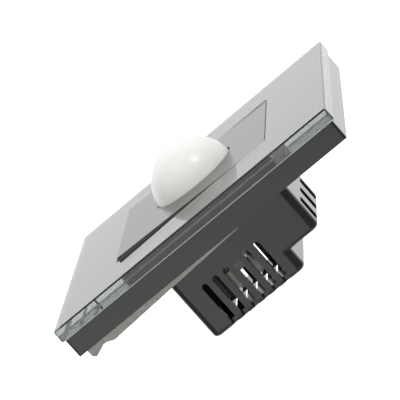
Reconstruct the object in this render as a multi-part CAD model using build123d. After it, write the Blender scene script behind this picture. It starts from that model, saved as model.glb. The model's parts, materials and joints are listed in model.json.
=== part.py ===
from build123d import *
import math
import os

# Motion sensor light switch for a square wall box, in millimetres.
# The face looks along -Y, +Z is up, and y = 0 is the wall plane at the back of the face frame.
# The origin lies in that plane, on the centre line of the two mounting screws.

# Face panel
panel_side = 86.0
panel_corner_radius = 0.7
glass_thickness = 3.6
glass_edge_chamfer = 0.4
film_thickness = 0.15
film_edge_gap = 0.3
window_side = 48.2
window_corner_radius = 1.2

# Face frame
frame_depth = 5.25
frame_inset = 0.7
frame_wall = 1.6
frame_front = 1.3
frame_skirt_wall = 1.0
frame_skirt_depth = 0.85
frame_post_radius = 2.2
frame_post_inset = 6.5
frame_rib_thickness = 1.0
frame_rib_count_per_side = 3
hook_width = 7.0
hook_thickness = 1.2
hook_offset_x = 14.0
hook_inset = 9.7
hook_barb = 0.7
hook_barb_height = 1.0
hook_clearance = 0.15
pry_notch_width = 9.0
pry_notch_depth = 1.1

# Steel mounting plate
plate_thickness = 1.0
plate_clearance = 0.3
plate_corner_radius = 2.0
screw_spacing = 60.3
screw_slot_width = 4.4
screw_slot_length = 8.0
lip_start_z = 8.0
lip_start_depth = 0.55
lip_full_inset = 7.1
lip_full_depth = 2.5
lip_step_inset = 5.1
lip_notch_inset = 4.2
lip_notch_depth = 1.65
lip_tab_inset = 1.1
lip_tab_depth = 2.95
lip_end_inset = 0.1
lip_end_depth = 2.3
lip_round = 0.9

# Rear housing
box_wall = 1.5
box_edge_radius = 2.2
box_back_radius = 1.2
ledge_height = 9.5
vent_count = 6
vent_width = 1.75
vent_low_margin = 7.15
vent_high_margin = 5.7
vent_side_depth = 1.7
vent_back_reach = 7.3
vent_board_gap = 0.7
wire_window_inset = 0.35
wire_window_height = 6.5
wire_window_board_gap = 0.5
wire_window_radius = 1.0
partition_thickness = 0.9
snap_window_width = 6.0
snap_window_height = 2.0
snap_window_start = 2.0
board_rest_width = 1.6
board_rest_length = 2.4
board_rest_height = 2.0

# Module carrier
deck_overlap = 1.35
deck_front = 2.9
tub_fit = 0.15
tub_wall = 1.0
tub_rim_height = 0.9
tub_leg_side = 3.0
lens_hole_clearance = 0.2
bearing_wall_gap = 2.0
bearing_width = 2.0
bearing_half_height = 2.3
pivot_depth = 4.6
pin_radius = 1.2
pin_clearance = 0.05
pin_overhang = 0.4
bearing_mouth_share = 0.8
stop_width = 8.0
stop_length = 1.6
stop_gap = 0.12
snap_lug_clearance = 0.2

# Rocker
rocker_gap = 0.4
rocker_proud = 0.29
rocker_tilt = 1.3
rocker_face_thickness = 0.4
rocker_wall = 1.2
rocker_depth = 4.9
rocker_corner_radius = 0.8
rocker_edge_round = 0.15
dome_gap = 0.3
rocker_collar_wall = 0.9
rocker_collar_clearance = 0.5
rocker_rib_thickness = 1.0
rocker_rib_drop = 1.9
push_pad_width = 3.4
push_pad_height = 2.2
push_gap = 0.12

# Dome lens
lens_radius = 11.7
lens_wall = 0.9
lens_centre_depth = 8.0
lens_flange_overlap = 0.5
lens_flange_thickness = 0.8

# Sensor group
holder_fit = 0.1
holder_length = 4.6
holder_ring_wall = 1.7
holder_pillar_radius = 5.2
holder_bridge_width = 5.0
holder_bridge_thickness = 2.4
holder_tub_gap = 0.55
can_radius = 4.6
can_height = 4.4
can_flange_radius = 4.95
can_flange_thickness = 0.4
can_seat_depth = 1.5
can_edge_round = 0.35
lead_radius = 0.22
lead_circle_radius = 2.54
lead_angles = (45, 135, 270)
lead_hole_clearance = 0.2
lead_overhang = 0.8
filter_width = 4.0
filter_height = 3.0
filter_thickness = 0.3
filter_fit = 0.05
photocell_side_gap = 0.6
photocell_height = 2.0
photocell_lead_length = 3.4
led_side_gap = 0.8
led_collar_step = 0.4
led_body_height = 3.6
led_collar_height = 1.0

# Sensor board
sensor_board_thickness = 1.2
board_fit = 0.2
board_screw_head_radius = 1.4
board_screw_head_height = 0.9
board_screw_radius = 0.8
board_screw_length = 3.4
board_screw_clearance = 0.05
chip_length = 9.9
chip_width = 3.9
chip_height = 1.5
chip_margin = 2.3
chip_pin_count = 8
chip_pin_pitch = 1.27
chip_pin_width = 0.42
chip_pin_reach = 1.0
chip_pin_thickness = 0.25

# Latching push switch
latch_holder_gap = 0.45
latch_tub_gap = 1.5
latch_body_width = 7.0
latch_body_height = 3.6
latch_body_front = 0.75
latch_wall = 0.6
latch_floor = 0.5
stem_width = 2.4
stem_height = 1.9
stem_foot_lip = 0.25
stem_foot_thickness = 0.6
stem_clearance = 0.06
stem_hole_clearance = 0.3
spring_radius = 0.75
spring_wire_radius = 0.12
spring_turns = 4.0
spring_end_gap = 0.05

# Power board and what it carries
power_board_thickness = 1.6
header_length = 10.2
header_width = 2.4
header_height = 3.0
header_holder_gap = 1.55
header_tub_gap = 0.1
header_pin_count = 4
header_pin_pitch = 2.54
header_pin_radius = 0.32
header_pin_overhang = 0.8
header_pin_clearance = 0.1
relay_length = 19.0
relay_width = 9.0
relay_height = 9.2
relay_bottom_gap = 1.45
relay_back_gap = 3.3
relay_edge_round = 0.4
film_length = 14.0
film_width = 4.6
film_height = 5.1
film_side_gap = 4.0
film_relay_gap = 0.85
film_edge_round = 0.5
electro_radius = 2.5
electro_length = 10.0
electro_side_gap = 0.9
electro_step_gap = 2.5
electro_groove_depth = 0.2
electro_groove_width = 0.8
electro_groove_share = 0.14
varistor_radius = 2.75
varistor_thickness = 2.4
varistor_side_gap = 2.4
varistor_step_gap = 7.4
varistor_stand_off = 3.55
varistor_lead_radius = 0.3
varistor_lead_spacing = 5.0
fuse_radius = 1.3
fuse_length = 5.0
fuse_stand_off = 2.7
fuse_film_gap = 0.5
fuse_film_shift = 1.5
fuse_cap_length = 1.0
fuse_cap_extra = 0.2
fuse_lead_radius = 0.3
fuse_lead_spacing = 2.1
fuse_lead_rise = 0.6
bridge_length = 8.4
bridge_width = 6.2
bridge_height = 2.0
bridge_side_gap = 2.6
bridge_z = 4.0

# Terminals
terminal_count = 3
terminal_side_gap = 0.05
clamp_side_gap = 0.75
clamp_length = 4.6
clamp_depth = 6.4
clamp_wall = 1.0
clamp_head_gap = 0.1
clamp_round = 0.5
screw_head_radius = 2.3
screw_head_height = 1.4
screw_head_clearance = 0.25
screw_hole_margin = 0.15
screw_radius = 1.45
screw_hole_clearance = 0.05
screw_reach = 2.6
screw_slot_cut_width = 0.8
screw_slot_cut_depth = 0.6

# One overrun serves every cut.
overrun = 1.0

# Face, frame and plate, from the front to the wall
panel_half = panel_side / 2
window_half = window_side / 2
frame_half = panel_half - frame_inset
frame_inner_half = frame_half - frame_wall
frame_wall_back = -frame_depth + frame_front
film_back = -frame_depth
glass_back = film_back - film_thickness
glass_front = glass_back - glass_thickness
hook_offset_z = frame_inner_half - hook_inset
plate_half = frame_inner_half - plate_clearance
plate_front = -plate_thickness
lip_full_z = lip_full_inset - plate_half
lip_step_z = lip_step_inset - plate_half
lip_notch_z = lip_notch_inset - plate_half
lip_tab_z = lip_tab_inset - plate_half
lip_end_z = lip_end_inset - plate_half

# Rocker and the deck that carries it
rocker_half = window_half - rocker_gap
rocker_front = glass_front - rocker_proud
rocker_body_front = rocker_front + rocker_face_thickness
rocker_ceiling = rocker_body_front + rocker_wall
rocker_back = rocker_front + rocker_depth
rocker_hole_radius = lens_radius + dome_gap
rest_sine = math.sin(math.radians(rocker_tilt))
deck_half = window_half + deck_overlap
bearing_offset = rocker_half - rocker_wall - bearing_wall_gap - bearing_width / 2

# Lens flange, and the holder round the sensor
lens_hole_radius = lens_radius + lens_hole_clearance
lens_flange_radius = lens_hole_radius + lens_flange_overlap
lens_flange_back = plate_front + lens_flange_thickness
holder_outer = lens_flange_radius - holder_fit
holder_inner = holder_outer - holder_ring_wall
side_part_offset = (holder_pillar_radius + holder_inner) / 2
side_part_room = (holder_inner - holder_pillar_radius) / 2
photocell_radius = side_part_room - photocell_side_gap
led_collar_radius = side_part_room - led_side_gap
led_radius = led_collar_radius - led_collar_step

# The tub goes round the holder, the latching switch and the pin strip, and the housing round the tub.
latch_z = -holder_outer - latch_holder_gap - latch_body_height / 2
header_z = holder_outer + header_holder_gap + header_width / 2
tub_inner_half_width = holder_outer + holder_tub_gap
tub_inner_bottom = latch_z - latch_body_height / 2 - latch_tub_gap
tub_inner_top = header_z + header_width / 2 + header_tub_gap
tub_half_width = tub_inner_half_width + tub_wall
tub_bottom = tub_inner_bottom - tub_wall
tub_top = tub_inner_top + tub_wall
box_inner_half_width = tub_half_width + tub_fit
box_inner_bottom = tub_bottom - tub_fit
box_inner_top = tub_top + tub_fit
box_half_width = box_inner_half_width + box_wall
box_bottom = box_inner_bottom - box_wall
box_top = box_inner_top + box_wall
box_step = box_top - ledge_height
box_inner_step = box_step - box_wall

# Depths behind the wall plane, one layer after the other
sensor_board_front = lens_flange_back + holder_length
sensor_board_back = sensor_board_front + sensor_board_thickness
tub_depth = sensor_board_back + tub_rim_height
power_board_front = sensor_board_back + header_height
power_board_back = power_board_front + power_board_thickness
ledge_inner = power_board_back + clamp_depth + clamp_head_gap
ledge_depth = ledge_inner + box_wall
box_depth = power_board_back + relay_height + relay_back_gap + box_wall

# Latching switch and its stem
latch_rest_shift = -latch_z * rest_sine
push_pad_back = -deck_front - 2 * latch_rest_shift
stem_front = push_pad_back - latch_rest_shift + push_gap
stem_foot_back = -latch_body_front + latch_wall + stem_clearance + stem_foot_thickness

# Slots, terminals and their windows
vent_radius = vent_width / 2
vent_start = power_board_back + vent_board_gap
vent_first_z = box_bottom + vent_low_margin
vent_pitch = (box_step - vent_high_margin - vent_first_z) / (vent_count - 1)
terminal_room = 2 * (box_inner_half_width - terminal_side_gap)
terminal_pitch = (terminal_room + partition_thickness) / terminal_count
clamp_width = terminal_pitch - partition_thickness - 2 * clamp_side_gap
screw_hole_radius = screw_head_radius + screw_head_clearance
clamp_z = box_step + screw_hole_margin + screw_hole_radius
wire_window_width = clamp_width - 2 * (clamp_wall + wire_window_inset)
wire_window_start = power_board_back + wire_window_board_gap

# Places on the two boards
sensor_board_low = tub_inner_bottom + board_fit
chip_z = sensor_board_low + chip_margin + chip_pin_reach + chip_width / 2
relay_low = box_inner_bottom + relay_bottom_gap
film_x = box_inner_half_width - film_side_gap - film_length / 2
film_z = relay_low + relay_width + film_relay_gap + film_width / 2
electro_x = electro_side_gap + electro_radius - box_inner_half_width
electro_z = box_inner_step - electro_step_gap - electro_length / 2
varistor_x = box_inner_half_width - varistor_side_gap - varistor_radius
varistor_z = box_inner_step - varistor_step_gap - varistor_thickness / 2
fuse_cap_radius = fuse_radius + fuse_cap_extra
fuse_x = film_x + film_length / 2 + fuse_film_gap + fuse_cap_radius
fuse_z = film_z - fuse_film_shift
bridge_x = box_inner_half_width - bridge_side_gap - bridge_length / 2


def block(x0, x1, y0, y1, z0, z1):
    """A box given by its two corners."""
    centre = ((x0 + x1) / 2, (y0 + y1) / 2, (z0 + z1) / 2)
    return Pos(*centre) * Box(abs(x1 - x0), abs(y1 - y0), abs(z1 - z0))


def rod_y(radius, y0, y1, x=0, z=0):
    """A round rod along Y."""
    return Pos(x, (y0 + y1) / 2, z) * Rot(90, 0, 0) * Cylinder(radius, abs(y1 - y0))


def rod_x(radius, x0, x1, y, z):
    """A round rod along X."""
    return Pos((x0 + x1) / 2, y, z) * Rot(0, 90, 0) * Cylinder(radius, abs(x1 - x0))


def rod_z(radius, z0, z1, x, y):
    """A round rod along Z."""
    return Pos(x, y, (z0 + z1) / 2) * Cylinder(radius, abs(z1 - z0))


def slab(width, height, corner_radius, y0, y1, x=0, z=0):
    """A plate across Y with rounded corners."""
    outline = RectangleRounded(width, height, corner_radius)
    return Pos(x, y1, z) * Rot(90, 0, 0) * extrude(outline, amount=y1 - y0)


def both_sides(shape):
    """The shape and its mirror image in the vertical middle plane."""
    return shape + mirror(shape, about=Plane.YZ)


def side_profile(points, x0, x1):
    """A solid with an outline of (y, z) points, drawn along X."""
    outline = make_face(Polyline(*[(0, y, z) for y, z in points], close=True))
    return Pos(x0, 0, 0) * extrude(outline, amount=x1 - x0, dir=(1, 0, 0))


def edges_along_y(shape):
    return shape.edges().filter_by(Axis.Y)


def tilted(shape):
    """The rocker's pieces at rest: turned about its pins so that the lower end stands out."""
    return Pos(0, -pivot_depth, 0) * Rot(-rocker_tilt, 0, 0) * Pos(0, pivot_depth, 0) * shape


def make_glass_panel():
    """Clear plate with a square window, its outer edges bevelled."""
    plate = slab(panel_side, panel_side, panel_corner_radius, glass_front, glass_back)
    front = glass_front - overrun
    back = glass_back + overrun
    plate -= slab(window_side, window_side, window_corner_radius, front, back)
    rims = plate.edges().group_by(Axis.Y)
    return chamfer(rims[0] + rims[-1], glass_edge_chamfer)


def make_panel_film():
    """Grey backing behind the clear plate."""
    side = panel_side - 2 * (frame_inset + film_edge_gap)
    film = slab(side, side, panel_corner_radius, glass_back, film_back)
    front = glass_back - overrun
    back = film_back + overrun
    return film - slab(window_side, window_side, window_corner_radius, front, back)


def make_frame_hook(x, direction):
    """A snap hook that reaches through the steel plate and catches behind it."""
    z = direction * hook_offset_z
    half = hook_width / 2
    tip = hook_clearance + hook_barb_height
    root = z - direction * hook_thickness / 2
    face = z + direction * hook_thickness / 2
    stem = block(x - half, x + half, frame_wall_back, tip, root, face)
    barb_points = [(hook_clearance, face), (tip, face), (hook_clearance, face + direction * hook_barb)]
    return stem + side_profile(barb_points, x - half, x + half)


def make_face_frame():
    """Hollow moulded frame under the glass, with ribs, rest posts and four snap hooks."""
    side = 2 * frame_half
    inner = 2 * frame_inner_half
    shell = slab(side, side, panel_corner_radius, -frame_depth, 0)
    shell -= slab(inner, inner, panel_corner_radius, frame_wall_back, overrun)
    skirt_side = window_side + 2 * frame_skirt_wall
    skirt_back = frame_wall_back + frame_skirt_depth
    skirt_radius = window_corner_radius + frame_skirt_wall
    shell += slab(skirt_side, skirt_side, skirt_radius, frame_wall_back, skirt_back)
    front = -frame_depth - overrun
    shell -= slab(window_side, window_side, window_corner_radius, front, skirt_back + overrun)
    post_place = frame_inner_half - frame_post_inset
    for x in (-post_place, post_place):
        for z in (-post_place, post_place):
            shell += rod_y(frame_post_radius, frame_wall_back, plate_front, x, z)
    rib_inner = skirt_side / 2
    rib_pitch = skirt_side / (frame_rib_count_per_side - 1) / 2
    for index in range(frame_rib_count_per_side):
        place = (index - (frame_rib_count_per_side - 1) / 2) * rib_pitch
        low = place - frame_rib_thickness / 2
        high = place + frame_rib_thickness / 2
        for sign in (-1, 1):
            across = (sign * rib_inner, sign * frame_inner_half)
            shell += block(*across, frame_wall_back, skirt_back, low, high)
            shell += block(low, high, frame_wall_back, skirt_back, *across)
    for x in (-hook_offset_x, hook_offset_x):
        for direction in (-1, 1):
            shell += make_frame_hook(x, direction)
    notch_half = pry_notch_width / 2
    notch_low = -frame_half - overrun
    notch_high = -frame_inner_half + overrun
    shell -= block(-notch_half, notch_half, -pry_notch_depth, overrun, notch_low, notch_high)
    return shell


def make_lip():
    """The plate's side edge turned back: a slow taper, a notch and a small rounded tab."""
    points = [
        (plate_front, lip_start_z),
        (lip_start_depth, lip_start_z),
        (lip_full_depth, lip_full_z),
        (lip_notch_depth, lip_step_z),
        (lip_notch_depth, lip_notch_z),
        (lip_tab_depth, lip_tab_z),
        (lip_end_depth, lip_end_z),
        (plate_front, lip_end_z),
    ]
    lip = side_profile(points, plate_half - plate_thickness, plate_half)
    corners = lip.edges().filter_by(Axis.X).filter_by(lambda edge: edge.center().Y > lip_start_depth)
    return fillet(corners, lip_round)


def make_mounting_plate():
    """Galvanised steel plate with two screw slots, a window for the module and lips on both sides."""
    side = 2 * plate_half
    plate = slab(side, side, plate_corner_radius, plate_front, 0)
    plate += both_sides(make_lip())
    plate -= block(-box_inner_half_width, box_inner_half_width, plate_front - overrun, overrun,
                   box_inner_bottom, box_inner_top)
    slot_outline = SlotOverall(screw_slot_length, screw_slot_width)
    slot = Rot(90, 0, 0) * extrude(slot_outline, amount=plate_thickness + 2 * overrun)
    for x in (-screw_spacing / 2, screw_spacing / 2):
        plate -= Pos(x, overrun, 0) * slot
    half = hook_width / 2 + hook_clearance
    back = hook_thickness / 2 + hook_barb + hook_clearance
    for x in (-hook_offset_x, hook_offset_x):
        for direction in (-1, 1):
            near = direction * (hook_offset_z - back)
            far = direction * (hook_offset_z + back)
            plate -= block(x - half, x + half, plate_front - overrun, overrun, near, far)
    return plate


def housing_outline(inset):
    """The housing's stepped side outline, drawn in by a wall thickness."""
    front = -overrun if inset else 0
    return [
        (front, box_bottom + inset),
        (box_depth - inset, box_bottom + inset),
        (box_depth - inset, box_step - inset),
        (ledge_depth - inset, box_step - inset),
        (ledge_depth - inset, box_top - inset),
        (front, box_top - inset),
    ]


def make_rear_housing():
    """Deep moulded cup with a stepped terminal ledge and rows of slots in its sides and its back."""
    shell = side_profile(housing_outline(0), -box_half_width, box_half_width)
    shell = fillet(edges_along_y(shell), box_edge_radius)
    deep_back = shell.faces().sort_by(Axis.Y)[-1]
    ledge_back = shell.faces().filter_by(Axis.Y).sort_by(Axis.Y)[-2]
    ledge_rim = ledge_back.edges().filter_by(lambda edge: edge.center().Z > box_step + box_wall)
    shell = fillet(deep_back.edges() + ledge_rim, box_back_radius)
    cavity = side_profile(housing_outline(box_wall), -box_inner_half_width, box_inner_half_width)
    cavity = fillet(edges_along_y(cavity), box_edge_radius - box_wall)
    shell -= cavity
    vent_low_x = box_half_width - vent_side_depth
    vent_high_x = box_half_width + overrun
    round_y = vent_start + vent_radius
    back_low = box_depth - box_wall - overrun
    back_high = box_depth + overrun
    for index in range(vent_count):
        z = vent_first_z + index * vent_pitch
        low = z - vent_radius
        high = z + vent_radius
        side_slot = block(vent_low_x, vent_high_x, round_y, back_high, low, high)
        side_slot += rod_x(vent_radius, vent_low_x, vent_high_x, round_y, z)
        shell -= both_sides(side_slot)
        shell -= block(-vent_back_reach, vent_back_reach, back_low, back_high, low, high)
        for x in (-vent_back_reach, vent_back_reach):
            shell -= rod_y(vent_radius, back_low, back_high, x, z)
    window_y = wire_window_start + wire_window_height / 2
    window_outline = RectangleRounded(wire_window_width, wire_window_height, wire_window_radius)
    for x in terminal_places():
        window = extrude(window_outline, amount=box_wall + 2 * overrun)
        shell -= Pos(x, window_y, box_inner_top - overrun) * window
        shell -= rod_y(screw_hole_radius, ledge_inner - overrun, ledge_depth + overrun, x, clamp_z)
    partition_low = clamp_z - clamp_length / 2
    for x in terminal_places()[1:]:
        low = x - (terminal_pitch + partition_thickness) / 2
        high = low + partition_thickness
        shell += block(low, high, power_board_back, ledge_inner, partition_low, box_inner_top)
    snap_low = box_bottom - overrun
    snap_high = box_top + overrun
    snap_half = snap_window_width / 2
    snap_end = snap_window_start + snap_window_height
    shell -= block(-snap_half, snap_half, snap_window_start, snap_end, snap_low, snap_high)
    rest_end = power_board_back + board_rest_height
    rest_x = box_inner_half_width - board_rest_width
    for z in (box_inner_bottom, box_inner_step - board_rest_length):
        rest = block(rest_x, box_inner_half_width, power_board_back, rest_end, z, z + board_rest_length)
        shell += both_sides(rest)
    return shell


def terminal_places():
    """The x of each terminal, from left to right."""
    middle = (terminal_count - 1) / 2
    return [(index - middle) * terminal_pitch for index in range(terminal_count)]


def make_bearing():
    """A post with an open-fronted bore that a rocker pin snaps into."""
    bore = pin_radius + pin_clearance
    low = bearing_offset - bearing_width / 2
    high = bearing_offset + bearing_width / 2
    post = block(low, high, -pivot_depth, -deck_front, -bearing_half_height, bearing_half_height)
    post += rod_x(bearing_half_height, low, high, -pivot_depth, 0)
    post -= rod_x(bore, low - overrun, high + overrun, -pivot_depth, 0)
    mouth = bore * bearing_mouth_share
    front = -pivot_depth - bearing_half_height - overrun
    return post - block(low - overrun, high + overrun, front, -pivot_depth, -mouth, mouth)


def make_module_carrier():
    """Front deck with bearings and stops, and a tub behind it that enters the rear housing."""
    deck = block(-deck_half, deck_half, -deck_front, plate_front, -deck_half, deck_half)
    deck = fillet(edges_along_y(deck), plate_corner_radius)
    tub = block(-tub_half_width, tub_half_width, plate_front, tub_depth, tub_bottom, tub_top)
    tub = fillet(edges_along_y(tub), box_edge_radius - box_wall)
    tub -= block(-tub_inner_half_width, tub_inner_half_width, plate_front, tub_depth + overrun,
                 tub_inner_bottom, tub_inner_top)
    carrier = deck + tub
    leg_x = tub_inner_half_width - tub_leg_side
    for z in (tub_inner_bottom, tub_inner_top - tub_leg_side):
        high = z + tub_leg_side
        leg = block(leg_x, tub_inner_half_width, plate_front, sensor_board_front, z, high)
        foot = block(tub_inner_half_width, tub_half_width, tub_depth, power_board_front, z, high)
        carrier += both_sides(leg) + both_sides(foot)
    carrier -= rod_y(lens_hole_radius, -deck_front - overrun, overrun, 0, 0)
    stem_half_x = stem_width / 2 + stem_hole_clearance
    stem_half_z = stem_height / 2 + stem_hole_clearance
    carrier -= block(-stem_half_x, stem_half_x, -deck_front - overrun, plate_front + overrun,
                     latch_z - stem_half_z, latch_z + stem_half_z)
    for x, z in board_screw_places():
        hole = board_screw_radius + board_screw_clearance
        depth = sensor_board_back - board_screw_length - board_screw_clearance
        carrier -= rod_y(hole, depth, sensor_board_front + overrun, x, z)
    carrier += both_sides(make_bearing())
    reach = rocker_half - rocker_wall / 2
    stop_front = rocker_back + reach * rest_sine + stop_gap
    for sign in (-1, 1):
        z = sign * reach
        carrier += block(-stop_width / 2, stop_width / 2, stop_front, -deck_front, z - stop_length / 2,
                         z + stop_length / 2)
    lug_start = snap_window_start + snap_lug_clearance
    lug_end = snap_window_start + snap_window_height - snap_lug_clearance
    lug_half = snap_window_width / 2 - snap_lug_clearance
    for face, direction in ((tub_top, 1), (tub_bottom, -1)):
        root = face - direction * tub_wall / 2
        tip = face + direction * box_wall
        lug = [(lug_end, root), (lug_start, root), (lug_start, tip), (lug_end, face)]
        carrier += side_profile(lug, -lug_half, lug_half)
    return carrier


def board_screw_places():
    """Two opposite corners of the sensor board."""
    x = tub_inner_half_width - tub_leg_side / 2
    low = tub_inner_bottom + tub_leg_side / 2
    high = tub_inner_top - tub_leg_side / 2
    return [(x, high), (-x, low)]


def make_rocker_body():
    """Square key with a round opening for the dome, side walls, ribs, pins and a push pad."""
    side = 2 * rocker_half
    body = slab(side, side, rocker_corner_radius, rocker_body_front, rocker_back)
    inner = side - 2 * rocker_wall
    body -= slab(inner, inner, rocker_corner_radius, rocker_ceiling, rocker_back + overrun)
    collar_back = rocker_back - rocker_collar_clearance
    body += rod_y(rocker_hole_radius + rocker_collar_wall, rocker_ceiling, collar_back)
    rib_half = rocker_rib_thickness / 2
    rib_back = rocker_ceiling + rocker_rib_drop
    inner_half = inner / 2
    for sign in (-1, 1):
        z = sign * (inner_half + rocker_hole_radius) / 2
        body += block(-inner_half, inner_half, rocker_ceiling, rib_back, z - rib_half, z + rib_half)
    body -= rod_y(rocker_hole_radius, rocker_front - overrun, rocker_back + overrun)
    pin_inner = bearing_offset - bearing_width / 2 - pin_overhang
    pin_outer = inner_half + rocker_wall / 2
    body += both_sides(rod_x(pin_radius, pin_inner, pin_outer, -pivot_depth, 0))
    pad_half_x = push_pad_width / 2
    pad_half_z = push_pad_height / 2
    body += block(-pad_half_x, pad_half_x, rocker_ceiling, push_pad_back, latch_z - pad_half_z,
                  latch_z + pad_half_z)
    return body


def make_rocker_face():
    """Thin grey cover on the key, with the same round opening."""
    side = 2 * rocker_half
    face = slab(side, side, rocker_corner_radius, rocker_front, rocker_body_front)
    face = fillet(face.edges().group_by(Axis.Y)[0], rocker_edge_round)
    return face - rod_y(rocker_hole_radius, rocker_front - overrun, rocker_body_front + overrun)


def make_dome_lens():
    """Hollow white dome with a straight skirt and a flange that sits behind the deck."""
    centre = -lens_centre_depth
    inner = lens_radius - lens_wall
    solid = Pos(0, centre, 0) * Sphere(lens_radius) + rod_y(lens_radius, centre, lens_flange_back)
    cavity = Pos(0, centre, 0) * Sphere(inner) + rod_y(inner, centre, lens_flange_back + overrun)
    keep = rod_y(lens_radius + overrun, centre - lens_radius - overrun, lens_flange_back)
    flange = rod_y(lens_flange_radius, plate_front, lens_flange_back)
    return (solid & keep) + flange - cavity


def lead_places():
    """Three leads on their circle."""
    places = []
    for angle in lead_angles:
        turn = math.radians(angle)
        places.append((lead_circle_radius * math.cos(turn), lead_circle_radius * math.sin(turn)))
    return places


def make_sensor_holder():
    """Black spacer that presses the lens flange forward and carries the infrared sensor."""
    holder = rod_y(holder_outer, lens_flange_back, sensor_board_front)
    holder -= rod_y(holder_inner, lens_flange_back - overrun, sensor_board_front + overrun)
    bridge_front = sensor_board_front - holder_bridge_thickness
    bridge_half = holder_bridge_width / 2
    reach = holder_outer - holder_ring_wall / 2
    holder += block(-reach, reach, bridge_front, sensor_board_front, -bridge_half, bridge_half)
    holder += rod_y(holder_pillar_radius, -can_seat_depth, sensor_board_front)
    for x, z in lead_places():
        hole = lead_radius + lead_hole_clearance
        holder -= rod_y(hole, -can_seat_depth - overrun, sensor_board_front + overrun, x, z)
    return holder


def make_pir_sensor():
    """Metal can with a base flange, a recess for its window and three leads."""
    seat = -can_seat_depth
    top = seat - can_height
    can = rod_y(can_radius, top, seat)
    can = fillet(can.edges().group_by(Axis.Y)[0], can_edge_round)
    can += rod_y(can_flange_radius, seat - can_flange_thickness, seat)
    half_x = filter_width / 2
    half_z = filter_height / 2
    can -= block(-half_x, half_x, top - overrun, top + filter_thickness, -half_z, half_z)
    for x, z in lead_places():
        can += rod_y(lead_radius, seat, sensor_board_back + lead_overhang, x, z)
    return can


def make_pir_window():
    """Dark filter glass set into the top of the can."""
    top = -can_seat_depth - can_height
    half_x = filter_width / 2 - filter_fit
    half_z = filter_height / 2 - filter_fit
    return block(-half_x, half_x, top, top + filter_thickness, -half_z, half_z)


def make_photocell():
    """Light sensor disc on two leads, below the infrared sensor."""
    disc_back = sensor_board_front - photocell_lead_length
    cell = rod_y(photocell_radius, disc_back - photocell_height, disc_back, 0, -side_part_offset)
    for x in (-photocell_radius / 2, photocell_radius / 2):
        cell += rod_y(lead_radius, disc_back, sensor_board_back + lead_overhang, x, -side_part_offset)
    return cell


def make_status_led():
    """Round indicator lamp with a domed front and a collar."""
    base = sensor_board_front
    lamp = rod_y(led_collar_radius, base - led_collar_height, base, 0, side_part_offset)
    lamp += rod_y(led_radius, base - led_body_height, base, 0, side_part_offset)
    lamp += Pos(0, base - led_body_height, side_part_offset) * Sphere(led_radius)
    for x in (-led_radius / 2, led_radius / 2):
        lamp += rod_y(lead_radius, base, sensor_board_back + lead_overhang, x, side_part_offset)
    return lamp


def header_places():
    """The pins of the strip that joins the two boards."""
    middle = (header_pin_count - 1) / 2
    return [(index - middle) * header_pin_pitch for index in range(header_pin_count)]


def make_sensor_board():
    """Small board behind the dome, with holes for leads, pins and its screws."""
    half_x = tub_inner_half_width - board_fit
    high = tub_inner_top - board_fit
    board = block(-half_x, half_x, sensor_board_front, sensor_board_back, sensor_board_low, high)
    front = sensor_board_front - overrun
    back = sensor_board_back + overrun
    lead_hole = lead_radius + lead_hole_clearance / 2
    for x, z in lead_places():
        board -= rod_y(lead_hole, front, back, x, z)
    for x in (-photocell_radius / 2, photocell_radius / 2):
        board -= rod_y(lead_hole, front, back, x, -side_part_offset)
    for x in (-led_radius / 2, led_radius / 2):
        board -= rod_y(lead_hole, front, back, x, side_part_offset)
    for x in header_places():
        board -= rod_y(header_pin_radius + header_pin_clearance, front, back, x, header_z)
    for x, z in board_screw_places():
        board -= rod_y(board_screw_radius + board_screw_clearance, front, back, x, z)
    return board


def make_board_screws():
    """Two small screws that hold the sensor board to the carrier's legs."""
    screws = []
    for x, z in board_screw_places():
        head_back = sensor_board_back + board_screw_head_height
        head = rod_y(board_screw_head_radius, sensor_board_back, head_back, x, z)
        tip = sensor_board_back - board_screw_length
        shank = rod_y(board_screw_radius, tip, sensor_board_back, x, z)
        screws.append(head + shank)
    return Compound(children=screws)


def make_sensor_chip():
    """Control chip on the back of the sensor board, with a row of pins on each side."""
    back = sensor_board_back + chip_height
    half_z = chip_width / 2
    half_x = chip_length / 2
    stand = chip_pin_thickness
    chip = block(-half_x, half_x, sensor_board_back + stand, back, chip_z - half_z, chip_z + half_z)
    middle = (chip_pin_count - 1) / 2
    reach = half_z + chip_pin_reach
    knee = sensor_board_back + chip_height / 2
    for index in range(chip_pin_count):
        x = (index - middle) * chip_pin_pitch
        low = x - chip_pin_width / 2
        high = x + chip_pin_width / 2
        for sign in (-1, 1):
            inner = chip_z + sign * half_z
            outer = chip_z + sign * reach
            bend = chip_z + sign * (half_z + chip_pin_reach / 2)
            chip += block(low, high, knee - chip_pin_thickness, knee, inner, bend)
            chip += block(low, high, sensor_board_back, knee, bend, bend - sign * chip_pin_thickness)
            foot_back = sensor_board_back + stand
            chip += block(low, high, sensor_board_back, foot_back, bend - sign * stand, outer)
    return chip


def make_latch_body():
    """Hollow body of the latching push switch under the key's lower half."""
    front = -latch_body_front
    half_x = latch_body_width / 2
    half_z = latch_body_height / 2
    body = block(-half_x, half_x, front, sensor_board_front, latch_z - half_z, latch_z + half_z)
    foot_half_x = stem_width / 2 + stem_foot_lip + stem_clearance
    foot_half_z = stem_height / 2 + stem_foot_lip + stem_clearance
    body -= block(-foot_half_x, foot_half_x, front + latch_wall, sensor_board_front - latch_floor,
                  latch_z - foot_half_z, latch_z + foot_half_z)
    neck_half_x = stem_width / 2 + stem_clearance
    neck_half_z = stem_height / 2 + stem_clearance
    body -= block(-neck_half_x, neck_half_x, front - overrun, front + overrun,
                  latch_z - neck_half_z, latch_z + neck_half_z)
    return body


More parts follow.
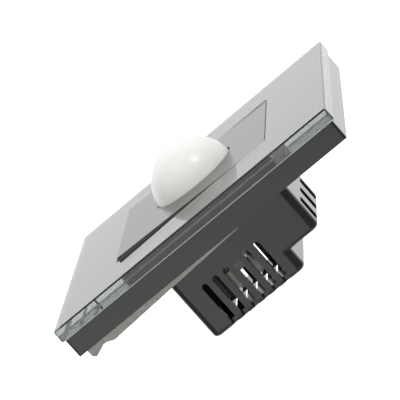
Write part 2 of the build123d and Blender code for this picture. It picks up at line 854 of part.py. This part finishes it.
def make_latch_plunger():
    """Stem that the key pushes, with a foot that keeps it in the switch body."""
    half_x = stem_width / 2
    half_z = stem_height / 2
    stem = block(-half_x, half_x, stem_front, stem_foot_back, latch_z - half_z, latch_z + half_z)
    foot_x = half_x + stem_foot_lip
    foot_z = half_z + stem_foot_lip
    foot_front = stem_foot_back - stem_foot_thickness
    return stem + block(-foot_x, foot_x, foot_front, stem_foot_back, latch_z - foot_z, latch_z + foot_z)


def make_latch_spring():
    """Coil spring that pushes the stem out."""
    start = stem_foot_back + spring_end_gap + spring_wire_radius
    end = sensor_board_front - latch_floor - spring_end_gap - spring_wire_radius
    length = end - start
    path = Helix(pitch=length / spring_turns, height=length, radius=spring_radius)
    section = Plane(origin=path @ 0, z_dir=path % 0) * Circle(spring_wire_radius)
    coil = sweep(section, path=path, is_frenet=True)
    return Pos(0, end, latch_z) * Rot(90, 0, 0) * coil


def make_power_board():
    """Main board that lies across the housing behind the sensor board."""
    half_x = box_inner_half_width - board_fit
    low = box_inner_bottom + board_fit
    high = box_inner_top - board_fit
    board = block(-half_x, half_x, power_board_front, power_board_back, low, high)
    board = fillet(edges_along_y(board), box_edge_radius - box_wall)
    for x in header_places():
        hole = header_pin_radius + header_pin_clearance
        board -= rod_y(hole, power_board_front - overrun, power_board_back + overrun, x, header_z)
    return board


def make_board_header():
    """Insulating strip between the boards."""
    half_x = header_length / 2
    half_z = header_width / 2
    low = header_z - half_z
    high = header_z + half_z
    strip = block(-half_x, half_x, sensor_board_back, power_board_front, low, high)
    for x in header_places():
        hole = header_pin_radius + header_pin_clearance / 2
        strip -= rod_y(hole, sensor_board_back - overrun, power_board_front + overrun, x, header_z)
    return strip


def make_header_pins():
    """Pins through the strip and both boards."""
    front = sensor_board_front - header_pin_overhang
    back = power_board_back + header_pin_overhang
    pins = [rod_y(header_pin_radius, front, back, x, header_z) for x in header_places()]
    return Compound(children=pins)


def make_relay():
    """Sealed relay at the bottom of the housing."""
    half = relay_length / 2
    back = power_board_back + relay_height
    body = block(-half, half, power_board_back, back, relay_low, relay_low + relay_width)
    return fillet(body.edges().group_by(Axis.Y)[-1] + edges_along_y(body), relay_edge_round)


def make_film_capacitor():
    """Flat film capacitor with softened edges."""
    half_x = film_length / 2
    half_z = film_width / 2
    body = block(film_x - half_x, film_x + half_x, power_board_back, power_board_back + film_height,
                 film_z - half_z, film_z + half_z)
    return fillet(body.edges().group_by(Axis.Y)[-1] + edges_along_y(body), film_edge_round)


def make_electrolytic_capacitor():
    """Can capacitor lying on the board, with the groove near its open end."""
    y = power_board_back + electro_radius
    low = electro_z - electro_length / 2
    high = electro_z + electro_length / 2
    can = rod_z(electro_radius, low, high, electro_x, y)
    groove_low = low + electro_length * electro_groove_share
    groove_high = groove_low + electro_groove_width
    groove = rod_z(electro_radius + overrun, groove_low, groove_high, electro_x, y)
    groove -= rod_z(electro_radius - electro_groove_depth, groove_low, groove_high, electro_x, y)
    return can - groove


def make_varistor():
    """Disc varistor standing on two leads."""
    y = power_board_back + varistor_stand_off + varistor_radius
    half = varistor_thickness / 2
    disc = rod_z(varistor_radius, varistor_z - half, varistor_z + half, varistor_x, y)
    for sign in (-1, 1):
        x = varistor_x + sign * varistor_lead_spacing / 2
        disc += rod_y(varistor_lead_radius, power_board_back, y, x, varistor_z)
    return disc


def make_fuse_resistor():
    """Fusible resistor standing on one lead, the other lead led back down beside it."""
    low = power_board_back + fuse_stand_off
    high = low + fuse_length
    top = high + fuse_lead_rise
    return_z = fuse_z + fuse_lead_spacing
    body = rod_y(fuse_radius, low, high, fuse_x, fuse_z)
    body += rod_y(fuse_cap_radius, low, low + fuse_cap_length, fuse_x, fuse_z)
    body += rod_y(fuse_cap_radius, high - fuse_cap_length, high, fuse_x, fuse_z)
    for z in (fuse_z, return_z):
        body += rod_y(fuse_lead_radius, power_board_back, top, fuse_x, z)
    return body + rod_z(fuse_lead_radius, fuse_z, return_z, fuse_x, top)


def make_bridge_rectifier():
    """Rectifier on the front of the power board."""
    half_x = bridge_length / 2
    half_z = bridge_width / 2
    front = power_board_front - bridge_height
    return block(bridge_x - half_x, bridge_x + half_x, front, power_board_front,
                 bridge_z - half_z, bridge_z + half_z)


def make_terminal_clamp(x):
    """Brass cage, open upwards for the wire, with a threaded hole for its screw."""
    back = ledge_inner - clamp_head_gap
    half_x = clamp_width / 2
    half_z = clamp_length / 2
    cage = block(x - half_x, x + half_x, power_board_back, back, clamp_z - half_z, clamp_z + half_z)
    cage = fillet(cage.edges().filter_by(Axis.Z), clamp_round)
    inner_x = half_x - clamp_wall
    cage -= block(x - inner_x, x + inner_x, power_board_back + clamp_wall, back - clamp_wall,
                  clamp_z - half_z - overrun, clamp_z + half_z + overrun)
    hole = screw_radius + screw_hole_clearance
    return cage - rod_y(hole, back - clamp_wall - overrun, back + overrun, x, clamp_z)


def make_terminal_screws():
    """Three slotted screws, one in each clamp."""
    seat = ledge_inner - clamp_head_gap
    top = seat + screw_head_height
    screws = []
    for x in terminal_places():
        screw = rod_y(screw_head_radius, seat, top, x, clamp_z)
        screw += rod_y(screw_radius, seat - screw_reach, seat, x, clamp_z)
        half = screw_slot_cut_width / 2
        wide = screw_head_radius + overrun
        floor = top - screw_slot_cut_depth
        screw -= block(x - wide, x + wide, floor, top + overrun, clamp_z - half, clamp_z + half)
        screws.append(screw)
    return Compound(children=screws)


def write_all():
    os.makedirs("parts", exist_ok=True)
    nodes = {
        "glass_panel": make_glass_panel(),
        "panel_film": make_panel_film(),
        "face_frame": make_face_frame(),
        "mounting_plate": make_mounting_plate(),
        "module_carrier": make_module_carrier(),
        "rear_housing": make_rear_housing(),
        "rocker_body": tilted(make_rocker_body()),
        "rocker_face": tilted(make_rocker_face()),
        "dome_lens": make_dome_lens(),
        "sensor_holder": make_sensor_holder(),
        "pir_sensor": make_pir_sensor(),
        "pir_window": make_pir_window(),
        "photocell": make_photocell(),
        "status_led": make_status_led(),
        "sensor_board": make_sensor_board(),
        "board_screws": make_board_screws(),
        "sensor_chip": make_sensor_chip(),
        "latch_body": make_latch_body(),
        "latch_plunger": make_latch_plunger(),
        "latch_spring": make_latch_spring(),
        "board_header": make_board_header(),
        "header_pins": make_header_pins(),
        "power_board": make_power_board(),
        "relay": make_relay(),
        "film_capacitor": make_film_capacitor(),
        "electrolytic_capacitor": make_electrolytic_capacitor(),
        "varistor": make_varistor(),
        "fuse_resistor": make_fuse_resistor(),
        "bridge_rectifier": make_bridge_rectifier(),
        "terminal_clamp_left": make_terminal_clamp(-terminal_pitch),
        "terminal_clamp_middle": make_terminal_clamp(0),
        "terminal_clamp_right": make_terminal_clamp(terminal_pitch),
        "terminal_screws": make_terminal_screws(),
    }
    for name, shape in nodes.items():
        export_step(shape, f"parts/{name}.step")


write_all()
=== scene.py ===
import json
import math

import bmesh
import bpy
from mathutils import Matrix, Vector


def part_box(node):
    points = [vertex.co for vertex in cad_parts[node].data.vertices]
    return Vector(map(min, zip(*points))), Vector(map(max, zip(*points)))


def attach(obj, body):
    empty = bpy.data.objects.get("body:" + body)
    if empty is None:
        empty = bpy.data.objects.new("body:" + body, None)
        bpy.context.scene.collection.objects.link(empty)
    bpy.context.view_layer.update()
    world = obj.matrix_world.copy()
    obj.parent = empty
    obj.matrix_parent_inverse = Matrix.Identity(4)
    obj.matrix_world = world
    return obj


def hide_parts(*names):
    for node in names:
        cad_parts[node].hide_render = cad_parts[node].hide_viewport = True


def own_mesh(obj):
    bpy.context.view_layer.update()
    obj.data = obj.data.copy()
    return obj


MM = 0.001

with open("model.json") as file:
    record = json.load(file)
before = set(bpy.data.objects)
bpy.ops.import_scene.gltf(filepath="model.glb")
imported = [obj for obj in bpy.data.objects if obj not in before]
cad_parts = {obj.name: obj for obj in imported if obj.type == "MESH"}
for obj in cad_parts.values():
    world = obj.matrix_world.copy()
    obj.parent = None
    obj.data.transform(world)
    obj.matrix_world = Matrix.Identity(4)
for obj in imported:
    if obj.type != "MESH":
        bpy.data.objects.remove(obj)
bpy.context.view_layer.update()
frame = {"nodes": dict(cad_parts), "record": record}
scene = bpy.context.scene


# Colours

WHITE = (1, 1, 1, 1)


def linear(value):
    """One channel of a 0 to 255 colour, turned from sRGB to what the renderer wants."""
    share = value / 255
    if share <= 0.04045:
        return share / 12.92
    return ((share + 0.055) / 1.055) ** 2.4


def colour(red, green, blue):
    return (linear(red), linear(green), linear(blue), 1.0)


# Objects and nodes

def put_in_scene(name, data):
    """An object of the scene, made of a mesh, a lamp or a camera."""
    placed = bpy.data.objects.new(name, data)
    scene.collection.objects.link(placed)
    return placed


def fill(node, inputs):
    """Give each input its value, or link it where the value is another node's output."""
    for socket, value in inputs.items():
        if isinstance(value, bpy.types.NodeSocket):
            node.id_data.links.new(value, node.inputs[socket])
        else:
            node.inputs[socket].default_value = value


def new_node(tree, kind, inputs, operation=None):
    node = tree.nodes.new("ShaderNode" + kind)
    if operation:
        node.operation = operation
    fill(node, inputs)
    return node


def mix_shaders(tree, share, first, second):
    """The first shader where the share is 0, and the second where it is 1."""
    return new_node(tree, "MixShader", {"Fac": share, 1: first, 2: second}).outputs[0]


def ray_kinds(tree):
    """Two shares that are 1 for a ray in a mirror or through glass, and for a ray of the camera."""
    ray = new_node(tree, "LightPath", {}).outputs
    either = {0: ray["Is Glossy Ray"], 1: ray["Is Transmission Ray"]}
    return new_node(tree, "Math", either, "MAXIMUM").outputs[0], ray["Is Camera Ray"]


# Camera, placed where the photograph was taken from

CAMERA_PLACE = (0.56243, -0.10052, 0.11012)
CAMERA_FORWARD = (-0.96683, 0.16649, -0.19369)
CAMERA_UP = (-0.25247, -0.73775, 0.62609)
CAMERA_LENS = 203.32
CAMERA_SENSOR = 36.0
CAMERA_NEAREST = 0.01
CAMERA_FARTHEST = 20.0


def make_camera():
    data = bpy.data.cameras.new("camera")
    data.sensor_width = CAMERA_SENSOR
    data.lens = CAMERA_LENS
    data.clip_start = CAMERA_NEAREST
    data.clip_end = CAMERA_FARTHEST
    camera = put_in_scene("camera", data)
    forward = Vector(CAMERA_FORWARD).normalized()
    right = forward.cross(Vector(CAMERA_UP)).normalized()
    up = right.cross(forward)
    turn = Matrix((right, up, -forward)).transposed().to_4x4()
    camera.matrix_world = Matrix.Translation(CAMERA_PLACE) @ turn
    scene.camera = camera


# Lamp, which makes the highlight on the dome

LAMP_TOWARDS = (0.3, -0.75, 0.58)
LAMP_DISTANCE = 0.7
LAMP_SIZE = 0.24
LAMP_POWER = 0.7


def make_lamp():
    data = bpy.data.lights.new("key", "AREA")
    data.shape = "DISK"
    data.size = LAMP_SIZE
    data.energy = LAMP_POWER
    lamp = put_in_scene("key", data)
    towards = Vector(LAMP_TOWARDS).normalized()
    lamp.location = towards * LAMP_DISTANCE
    lamp.rotation_mode = "QUATERNION"
    lamp.rotation_quaternion = towards.to_track_quat("Z", "Y")


# Surroundings. The object is lit softly, a little more from the camera's side. Mirrors and glass
# see a bright backdrop opposite the camera and dim sides. They also see some light in front of
# the face and behind the object, and more round an axis behind the camera.

SOFT_LEVEL = 0.92
SOFT_TILT = 0.17
BACKDROP_LEVEL = 1.25
SIDE_LEVEL = 0.22

# Shares of the way along X, from opposite the camera to its side, where the backdrop ends and
# where the dim sides begin.

BACKDROP_END = 0.22
SIDES_BEGIN = 0.42

# Each span says how squarely a ray has to point along its axis for the light to start, and for
# the light to be full.

FRONT_REAR_EXTRA = 0.4
FRONT_REAR_SPAN = (0.35, 0.85)
BEHIND_CAMERA_AXIS = (0.92, 0.17, -0.33)
BEHIND_CAMERA_LEVEL = 0.9
BEHIND_CAMERA_SPAN = (0.915, 0.965)
BRIGHTEST_EXTRA = 0.45
BRIGHTEST_SPAN = (0.965, 1.0)


def mirrored_strength(tree, towards, along):
    """How bright the surroundings are in mirrors and through glass, by direction."""
    share = new_node(tree, "MapRange", {"Value": along["X"], "From Min": -1.0, "From Max": 1.0})
    level = new_node(tree, "ValToRGB", {"Fac": share.outputs[0]})
    ramp = level.color_ramp
    ramp.interpolation = "EASE"
    stops = (
        (0.0, BACKDROP_LEVEL),
        (BACKDROP_END, BACKDROP_LEVEL),
        (SIDES_BEGIN, SIDE_LEVEL),
        (1.0, SIDE_LEVEL),
    )
    while len(ramp.elements) < len(stops):
        ramp.elements.new(0.5)
    for element, (position, value) in zip(ramp.elements, stops):
        element.position = position
        element.color = (value, value, value, 1)
    facing = new_node(tree, "Math", {0: along["Y"]}, "ABSOLUTE").outputs[0]
    axis = Vector(BEHIND_CAMERA_AXIS).normalized()
    on_axis = new_node(tree, "VectorMath", {0: towards, 1: axis}, "DOT_PRODUCT").outputs["Value"]
    strength = level.outputs["Color"]
    for value, (start, full), extra in (
        (facing, FRONT_REAR_SPAN, FRONT_REAR_EXTRA),
        (on_axis, BEHIND_CAMERA_SPAN, BEHIND_CAMERA_LEVEL - SIDE_LEVEL),
        (on_axis, BRIGHTEST_SPAN, BRIGHTEST_EXTRA),
    ):
        span = {"Value": value, "From Min": start, "From Max": full, "To Max": extra}
        rise = new_node(tree, "MapRange", span)
        rise.interpolation_type = "SMOOTHSTEP"
        strength = new_node(tree, "Math", {0: rise.outputs[0], 1: strength}, "ADD").outputs[0]
    return strength


def make_world():
    """White to the camera, soft to the object, and with backdrop and sides in mirrors and glass."""
    world = bpy.data.worlds.new("studio")
    world.use_nodes = True
    scene.world = world
    tree = world.node_tree
    tree.nodes.clear()

    def background(strength):
        return new_node(tree, "Background", {"Color": WHITE, "Strength": strength}).outputs[0]

    towards = new_node(tree, "TexCoord", {}).outputs["Generated"]
    along = new_node(tree, "SeparateXYZ", {0: towards}).outputs
    soft = new_node(tree, "Math", {0: along["X"], 1: SOFT_TILT, 2: SOFT_LEVEL}, "MULTIPLY_ADD")
    mirrored = mirrored_strength(tree, towards, along)
    by_mirror, by_camera = ray_kinds(tree)
    around = mix_shaders(tree, by_mirror, background(soft.outputs[0]), background(mirrored))
    all_rays = mix_shaders(tree, by_camera, around, background(1.0))
    new_node(tree, "OutputWorld", {"Surface": all_rays})


# Floor

FLOOR_HEIGHT = -0.1
FLOOR_REACH = 4.0
FLOOR_COLOUR = colour(238, 238, 236)
FLOOR_GLOW = 0.8


def make_floor():
    """Pale floor that glows for the camera, and that mirrors and glass see through."""
    mesh = bpy.data.meshes.new("floor")
    corners = [
        (x * FLOOR_REACH, y * FLOOR_REACH, FLOOR_HEIGHT)
        for x, y in ((-1, -1), (1, -1), (1, 1), (-1, 1))
    ]
    mesh.from_pydata(corners, [], [(0, 1, 2, 3)])
    floor = put_in_scene("floor", mesh)
    material = bpy.data.materials.new("pale_floor")
    material.use_nodes = True
    tree = material.node_tree
    tree.nodes.clear()
    diffuse = new_node(tree, "BsdfDiffuse", {"Color": FLOOR_COLOUR}).outputs[0]
    glow = new_node(tree, "Emission", {"Color": WHITE, "Strength": FLOOR_GLOW}).outputs[0]
    lit = new_node(tree, "AddShader", {0: diffuse, 1: glow}).outputs[0]
    clear = new_node(tree, "BsdfTransparent", {}).outputs[0]
    by_mirror, by_camera = ray_kinds(tree)
    direct = mix_shaders(tree, by_camera, diffuse, lit)
    surface = mix_shaders(tree, by_mirror, direct, clear)
    new_node(tree, "OutputMaterial", {"Surface": surface})
    mesh.materials.append(material)


# Materials

NOISE_SPAN = (0.3, 0.7)


class Finish:
    """A Principled material that is built up one layer at a time."""

    def __init__(self, name, base, roughness, metallic=0.0, ior=1.5):
        self.name = name
        self.base = base
        self.roughness = roughness
        self.material = bpy.data.materials.new(name)
        self.material.use_nodes = True
        self.tree = self.material.node_tree
        self.place = self.node("TexCoord", {}).outputs["Object"]
        self.set({"Base Color": base, "Roughness": roughness, "Metallic": metallic, "IOR": ior})

    def node(self, kind, inputs, operation=None):
        return new_node(self.tree, kind, inputs, operation)

    def set(self, inputs):
        fill(self.tree.nodes["Principled BSDF"], inputs)
        return self

    def noise(self, size_mm, detail=2.0):
        scale = 1 / (size_mm * MM)
        inputs = {"Vector": self.place, "Scale": scale, "Detail": detail}
        return self.node("TexNoise", inputs).outputs["Fac"]

    def cells(self, size_mm):
        scale = 1 / (size_mm * MM)
        return self.node("TexVoronoi", {"Vector": self.place, "Scale": scale}).outputs["Color"]

    def ranged(self, value, low, high):
        """The value's usual span, stretched to go from low to high."""
        start, end = NOISE_SPAN
        inputs = {"From Min": start, "From Max": end, "To Min": low, "To Max": high}
        return self.node("MapRange", {"Value": value, **inputs}).outputs[0]

    def tone(self, value, darker, lighter):
        """The base colour, varied between two brightnesses."""
        level = self.ranged(value, darker, lighter)
        scaled = self.node("VectorMath", {0: self.base[:3], "Scale": level}, "SCALE")
        return self.set({"Base Color": scaled.outputs[0]})

    def rough(self, value, smoother, rougher):
        """The roughness, varied by so much to both sides."""
        level = self.ranged(value, self.roughness - smoother, self.roughness + rougher)
        return self.set({"Roughness": level})

    def bump(self, value, depth_mm):
        raised = self.node("Bump", {"Distance": depth_mm * MM, "Height": value})
        return self.set({"Normal": raised.outputs[0]})


def moulded(name, base, roughness, grain_mm=0.35, ior=1.5):
    """Injection-moulded plastic with a fine spark texture."""
    finish = Finish(name, base, roughness, ior=ior)
    finish.tone(finish.noise(size_mm=9.0), darker=0.93, lighter=1.07)
    grain = finish.noise(grain_mm)
    finish.rough(grain, smoother=0.05, rougher=0.07)
    return finish.bump(grain, depth_mm=0.012)


def milky(name, base, roughness):
    """Smooth white moulding with hardly any grain."""
    finish = Finish(name, base, roughness, ior=1.45)
    finish.tone(finish.noise(size_mm=8.0), darker=0.99, lighter=1.005)
    swell = finish.noise(size_mm=2.5)
    finish.rough(swell, smoother=0.03, rougher=0.03)
    return finish.bump(swell, depth_mm=0.001)


def sheet_metal(name, base, roughness):
    """Bare or galvanised metal, with small crystals and a fine grain."""
    finish = Finish(name, base, roughness, metallic=1.0)
    finish.tone(finish.cells(size_mm=2.5), darker=0.95, lighter=1.04)
    grain = finish.noise(size_mm=0.5, detail=3.0)
    finish.rough(grain, smoother=0.09, rougher=0.09)
    return finish.bump(grain, depth_mm=0.004)


def metal_film(name, base, roughness, edge_tint):
    """Smooth dark film with a metallic sheen."""
    finish = Finish(name, base, roughness, metallic=1.0)
    finish.set({"Specular Tint": edge_tint})
    return finish.tone(finish.noise(size_mm=5.0), darker=0.96, lighter=1.04)


def glass(name, tint, ior=1.5, roughness=0.0):
    """Clear or ground glass. Its tint is the share of light that passes, by colour."""
    finish = Finish(name, tint, roughness, ior=ior)
    finish.set({"Transmission Weight": 1.0})
    return finish.tone(finish.noise(size_mm=14.0), darker=0.985, lighter=1.015)


def coated(name, base, roughness, coat=0.3, ior=1.5):
    """Lacquered or glossy part with slight unevenness."""
    finish = Finish(name, base, roughness, ior=ior)
    finish.set({"Coat Weight": coat, "Coat Roughness": 0.12})
    unevenness = finish.noise(size_mm=1.2)
    finish.tone(unevenness, darker=0.95, lighter=1.05)
    return finish.bump(unevenness, depth_mm=0.006)


CAD_FINISHES = (
    glass("clear_panel", (0.95, 0.975, 0.965, 1.0)),
    metal_film("grey_film", colour(86, 88, 86), 0.03, edge_tint=(0.86, 0.88, 0.87, 1.0)),
    moulded("dark_moulding", colour(29, 34, 33), 0.16, ior=1.56),
    sheet_metal("zinc_steel", colour(150, 154, 146), 0.38),
    moulded("key_black", colour(96, 96, 94), 0.4, grain_mm=0.3),
    coated("key_grey", colour(80, 82, 80), 0.22, coat=0.0, ior=1.38),
    milky("lens_white", colour(240, 242, 238), 0.2),
    moulded("black_plastic", colour(28, 28, 30), 0.4),
    sheet_metal("can_metal", colour(205, 203, 196), 0.22),
    coated("filter_glass", colour(30, 26, 32), 0.08, coat=0.6),
    coated("cell_orange", colour(206, 118, 62), 0.3),
    coated("led_clear", colour(214, 92, 74), 0.1, coat=0.6),
    coated("board_green", colour(40, 92, 58), 0.3),
    sheet_metal("screw_steel", colour(176, 176, 172), 0.3),
    sheet_metal("gold_pins", colour(226, 184, 92), 0.25),
    coated("relay_case", colour(30, 30, 33), 0.3),
    coated("film_case", colour(194, 192, 185), 0.4),
    coated("electro_sleeve", colour(48, 54, 68), 0.25),
    coated("varistor_case", colour(204, 202, 193), 0.35),
    coated("resistor_body", colour(168, 174, 163), 0.35),
    sheet_metal("clamp_brass", colour(214, 170, 84), 0.25),
    sheet_metal("spring_steel", colour(150, 150, 152), 0.3),
)

# The grey backing is bonded to the plate, so light reaches it without bending. Looking in at an
# edge, light crosses the whole plate, whose faint green adds up. The walls of the window are
# ground. The narrow rear rims and the bare border are opaque and pale. This is partly the whitish
# look of ground glass and partly painted light: they are made lighter to stand in for light that
# comes through them.

PLATE_FINISHES = (
    glass("painted_back", (0.99, 0.99, 0.99, 1.0), ior=1.0),
    glass("cut_edge", (0.605, 0.65, 0.625, 1.0), ior=1.66),
    glass("ground_wall", (0.66, 0.7, 0.68, 1.0), roughness=0.55),
    # Pale rim: ground-glass white, made lighter as painted light for the light that comes through
    # the rims.
    coated("ground_rim_painted_light", colour(192, 196, 193), 0.5, coat=0.0),
)

materials = {finish.name: finish.material for finish in CAD_FINISHES + PLATE_FINISHES}


def dress_cad_nodes():
    slots = {part["node"]: part["material_slot"] for part in frame["record"]["subparts"]}
    for name, node in frame["nodes"].items():
        node.data.materials.clear()
        node.data.materials.append(materials[slots[name]])


def make_piece(name, bm, skins):
    """The shape in bm as an object of the scene, with its faces turned outwards."""
    bmesh.ops.recalc_face_normals(bm, faces=bm.faces)
    mesh = bpy.data.meshes.new(name)
    bm.to_mesh(mesh)
    bm.free()
    for skin in skins:
        mesh.materials.append(materials[skin])
    return put_in_scene(name, mesh)


# Clear plate

PLATE_CORNER = 0.7 * MM
PLATE_BEVEL = 0.4 * MM
REAR_BEVEL = 0.22 * MM
BARE_BORDER = 1.0 * MM
BACKING_GAP = 0.02 * MM
WINDOW_HALF = 24.1 * MM
WINDOW_CORNER = 1.2 * MM
WINDOW_BEVEL = 0.22 * MM
CORNER_STEPS = 8
PLATE_SKINS = ("clear_panel", "painted_back", "cut_edge", "ground_wall", "ground_rim_painted_light")


def rounded_square(half, radius):
    """Corner points of a rounded square, going round once."""
    points = []
    for quarter in range(4):
        middle = math.pi / 4 + quarter * math.pi / 2
        corner_x = math.copysign(half - radius, math.cos(middle))
        corner_z = math.copysign(half - radius, math.sin(middle))
        for step in range(CORNER_STEPS + 1):
            turn = quarter * math.pi / 2 + step / CORNER_STEPS * math.pi / 2
            points.append((corner_x + radius * math.cos(turn), corner_z + radius * math.sin(turn)))
    return points


def make_glass():
    """The plate as one closed shell, its rims bevelled round the outside and round the window."""
    low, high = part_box("glass_panel")
    half = high.x
    front = low.y
    back = high.y - BACKING_GAP
    window_rim = WINDOW_HALF + WINDOW_BEVEL
    rim_corner = WINDOW_CORNER + WINDOW_BEVEL

    # Each row is an outline and what covers the plate from there to the next outline.

    outlines = (
        (half - PLATE_BEVEL, PLATE_CORNER, front, "cut_edge"),
        (half, PLATE_CORNER, front + PLATE_BEVEL, "cut_edge"),
        # Outer rear bevel and bare border carry the pale rim, which is partly painted light.
        (half, PLATE_CORNER, back - REAR_BEVEL, "ground_rim_painted_light"),
        (half - REAR_BEVEL, PLATE_CORNER, back, "ground_rim_painted_light"),
        (half - BARE_BORDER, PLATE_CORNER, back, "painted_back"),
        # Rear bevel round the window carries the pale rim, which is partly painted light.
        (window_rim, rim_corner, back, "ground_rim_painted_light"),
        (WINDOW_HALF, WINDOW_CORNER, back - WINDOW_BEVEL, "ground_wall"),
        (WINDOW_HALF, WINDOW_CORNER, front + WINDOW_BEVEL, "ground_wall"),
        (window_rim, rim_corner, front, "clear_panel"),
    )
    bm = bmesh.new()
    rings = [
        [bm.verts.new((x, y, z)) for x, z in rounded_square(reach, radius)]
        for reach, radius, y, _ in outlines
    ]
    for ring, following, (_, _, _, skin) in zip(rings, rings[1:] + rings[:1], outlines):
        for corner in range(len(ring)):
            after = (corner + 1) % len(ring)
            face = bm.faces.new((ring[corner], following[corner], following[after], ring[after]))
            face.material_index = PLATE_SKINS.index(skin)
    plate = make_piece("clear_plate", bm, PLATE_SKINS)
    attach(plate, "base")
    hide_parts("glass_panel")


# Latch spring. The real one shortens as the stem is pushed in; here it is built at one length

SPRING_TURNS = 4
SPRING_WIRE = 0.12 * MM
TURN_STEPS = 24
WIRE_SIDES = 8


def make_spring():
    """Coil spring inside the latch body, wound as one wire."""
    low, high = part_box("latch_spring")
    middle_x = (low.x + high.x) / 2
    middle_z = (low.z + high.z) / 2
    radius = (high.x - low.x) / 2 - SPRING_WIRE
    start = low.y + SPRING_WIRE
    length = high.y - low.y - 2 * SPRING_WIRE
    bm = bmesh.new()
    rings = []
    steps = SPRING_TURNS * TURN_STEPS
    for step in range(steps + 1):
        turn = step / TURN_STEPS * 2 * math.pi
        out = Vector((math.cos(turn), 0, math.sin(turn)))
        core = Vector((middle_x, start + length * step / steps, middle_z)) + out * radius
        ring = []
        for side in range(WIRE_SIDES):
            angle = side / WIRE_SIDES * 2 * math.pi
            offset = out * math.cos(angle) + Vector((0, math.sin(angle), 0))
            ring.append(bm.verts.new(core + SPRING_WIRE * offset))
        rings.append(ring)
    for ring, following in zip(rings, rings[1:]):
        for side in range(WIRE_SIDES):
            after = (side + 1) % WIRE_SIDES
            bm.faces.new((ring[side], ring[after], following[after], following[side]))
    bm.faces.new(rings[0])
    bm.faces.new(rings[-1])
    spring = make_piece("coil_spring", bm, ("spring_steel",))
    for face in spring.data.polygons:
        face.use_smooth = True
    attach(spring, "base")
    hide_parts("latch_spring")
    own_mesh(spring)


scene.view_settings.view_transform = "Standard"
make_camera()
make_world()
make_floor()
make_lamp()
dress_cad_nodes()
make_glass()
make_spring()
